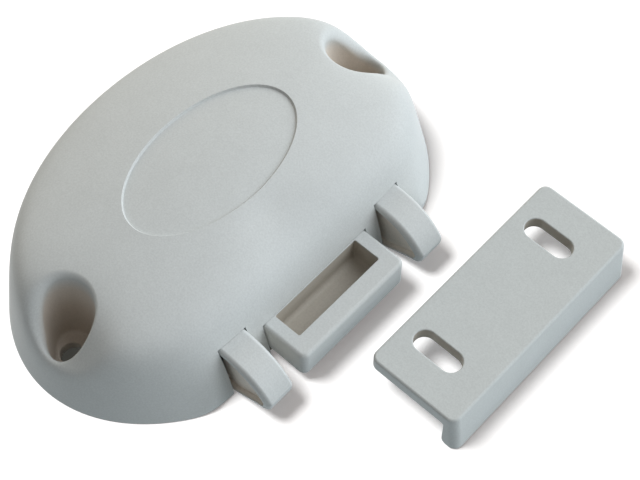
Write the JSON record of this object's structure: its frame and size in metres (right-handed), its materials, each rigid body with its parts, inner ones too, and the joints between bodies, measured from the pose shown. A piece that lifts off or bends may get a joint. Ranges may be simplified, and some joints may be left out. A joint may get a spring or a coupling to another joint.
{
  "type": "pushbutton lock",
  "caption": "Domed oval surface lock: a push button with a finger pocket draws in sprung claws on either side of it, which hook a separate slotted angle keeper.",
  "frame": {"origin": "on the mounting face of the lock, midway between its two screw wells", "axes": "+Z out of the surface that the lock is screwed on, -Y the way the claws reach, +X along the lock"},
  "size_m": [0.105, 0.1079, 0.0257],
  "materials": {
    "moulding": "satin, fine grain",
    "keeper_moulding": "satin, fine grain",
    "inner_moulding": "plain moulded",
    "steel": "bright zinc"
  },
  "bodies": {
    "lock": {"casing": "moulding", "back_plate": "inner_moulding", "guide_bridge": "inner_moulding", "back_plate_screw_1": "steel", "back_plate_screw_2": "steel", "back_plate_screw_3": "steel", "back_plate_screw_4": "steel", "bridge_screw_1": "steel", "bridge_screw_2": "steel", "bridge_screw_3": "steel", "bridge_screw_4": "steel", "left_claw_spring": "steel", "button_spring": "steel", "right_claw_spring": "steel", "left_claw_spring_rod": "steel", "button_spring_rod": "steel", "right_claw_spring_rod": "steel"},
    "push_button": {"push_button": "moulding", "draw_bar": "inner_moulding", "draw_bar_screw_1": "steel", "draw_bar_screw_2": "steel"},
    "left_claw": {"left_claw": "moulding"},
    "right_claw": {"right_claw": "moulding"},
    "keeper": {"keeper": "keeper_moulding"}
  },
  "joints": [
    {"name": "button_push", "type": "slide", "parent": "lock", "child": "push_button", "axis": [0, 1, 0], "range_m": [0, 0.007], "stiffness_N_per_m": 300, "springref_m": -0.005, "deforming": ["button_spring"]},
    {"name": "left_claw_slide", "type": "slide", "parent": "lock", "child": "left_claw", "axis": [0, 1, 0], "range_m": [0, 0.007], "stiffness_N_per_m": 200, "springref_m": -0.005, "deforming": ["left_claw_spring"]},
    {"name": "right_claw_slide", "type": "slide", "parent": "lock", "child": "right_claw", "axis": [0, 1, 0], "range_m": [0, 0.007], "stiffness_N_per_m": 200, "springref_m": -0.005, "deforming": ["right_claw_spring"]},
    {"name": "keeper_slide", "type": "slide", "parent": "lock", "child": "keeper", "axis": [0, 1, 0], "range_m": [-0.03, 0.006]}
  ],
  "couplings": [
    {"joint": "left_claw_slide", "follows": "button_push", "ratio": 1},
    {"joint": "right_claw_slide", "follows": "button_push", "ratio": 1}
  ]
}
